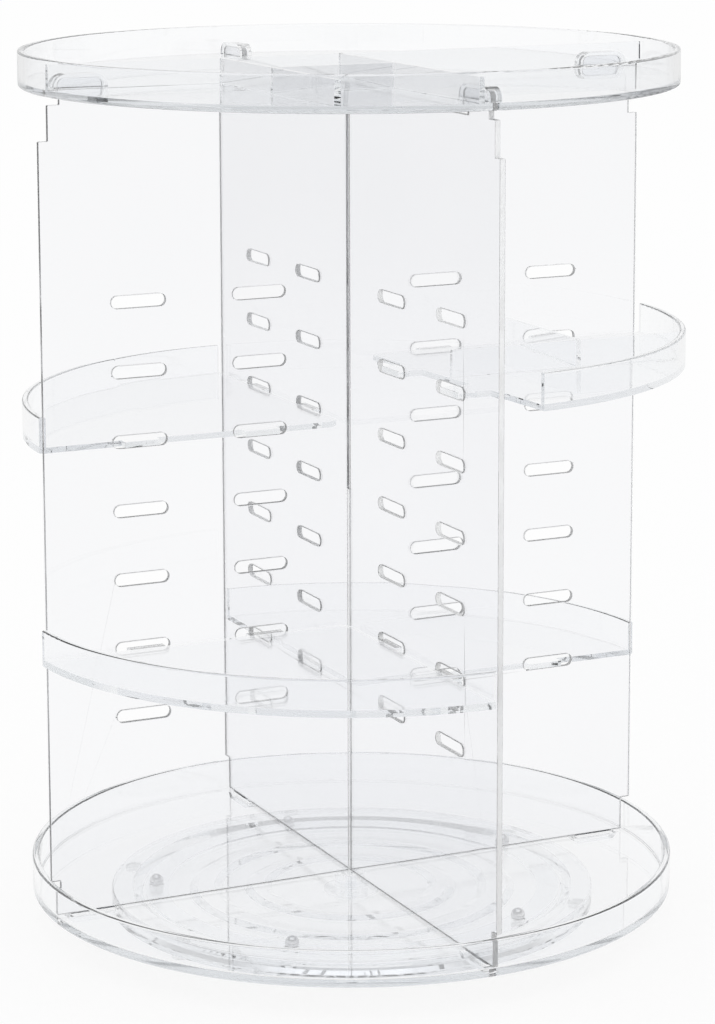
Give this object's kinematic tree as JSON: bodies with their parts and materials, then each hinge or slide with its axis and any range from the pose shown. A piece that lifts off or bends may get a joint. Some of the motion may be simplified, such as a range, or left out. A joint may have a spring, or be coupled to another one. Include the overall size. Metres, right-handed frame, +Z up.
{
  "type": "rotating makeup organizer",
  "caption": "Clear plastic makeup carousel: a round base tray turning on a ball bearing, crossed slotted panels, quarter shelves hooked into the slots and a divided top tray.",
  "frame": {"origin": "on the table, on the turning axis", "axes": "+Z up along the turning axis, X along the panel_across panel, Y along the panel_deep panel"},
  "size_m": [0.236, 0.236, 0.3113],
  "materials": {
    "clear_plastic": "clear, polished, moulded",
    "steel": "polished ball",
    "pad_rubber": "frosted clear"
  },
  "bodies": {
    "stand": {"base_plate": "clear_plastic", "foot_pad_1": "pad_rubber", "foot_pad_2": "pad_rubber", "foot_pad_3": "pad_rubber", "foot_pad_4": "pad_rubber", "foot_pad_5": "pad_rubber", "foot_pad_6": "pad_rubber"},
    "bearing": {"ball_cage": "clear_plastic", "steel_ball_1": "steel", "steel_ball_2": "steel", "steel_ball_3": "steel", "steel_ball_4": "steel", "steel_ball_5": "steel"},
    "carousel": {"base_tray": "clear_plastic", "pivot_retainer": "clear_plastic", "pivot_pin": "clear_plastic", "panel_across": "clear_plastic", "panel_deep": "clear_plastic"},
    "top_tray": {"top_tray": "clear_plastic"},
    "shelf_left": {"shelf_left": "clear_plastic"},
    "shelf_front": {"shelf_front": "clear_plastic"},
    "shelf_right": {"shelf_right": "clear_plastic"},
    "shelf_back": {"shelf_back": "clear_plastic"}
  },
  "joints": [
    {"name": "carousel_spin", "type": "hinge", "parent": "stand", "child": "carousel", "pos_m": [0, 0, 0.005], "axis": [0, 0, 1], "continuous": true},
    {"name": "cage_roll", "type": "hinge", "parent": "stand", "child": "bearing", "pos_m": [0, 0, 0.0078], "axis": [0, 0, 1], "continuous": true},
    {"name": "top_tray_lift", "type": "slide", "parent": "carousel", "child": "top_tray", "axis": [0, 0, 1], "range_m": [0, 0.05]},
    {"name": "shelf_left_out", "type": "slide", "parent": "carousel", "child": "shelf_left", "axis": [-0.7071, 0.7071, 0], "range_m": [0, 0.12]},
    {"name": "shelf_front_out", "type": "slide", "parent": "carousel", "child": "shelf_front", "axis": [-0.7071, -0.7071, 0], "range_m": [0, 0.12]},
    {"name": "shelf_right_out", "type": "slide", "parent": "carousel", "child": "shelf_right", "axis": [0.7071, -0.7071, 0], "range_m": [0, 0.12]},
    {"name": "shelf_back_out", "type": "slide", "parent": "carousel", "child": "shelf_back", "axis": [0.7071, 0.7071, 0], "range_m": [0, 0.12]}
  ],
  "couplings": [
    {"joint": "cage_roll", "follows": "carousel_spin", "ratio": 0.5}
  ]
}
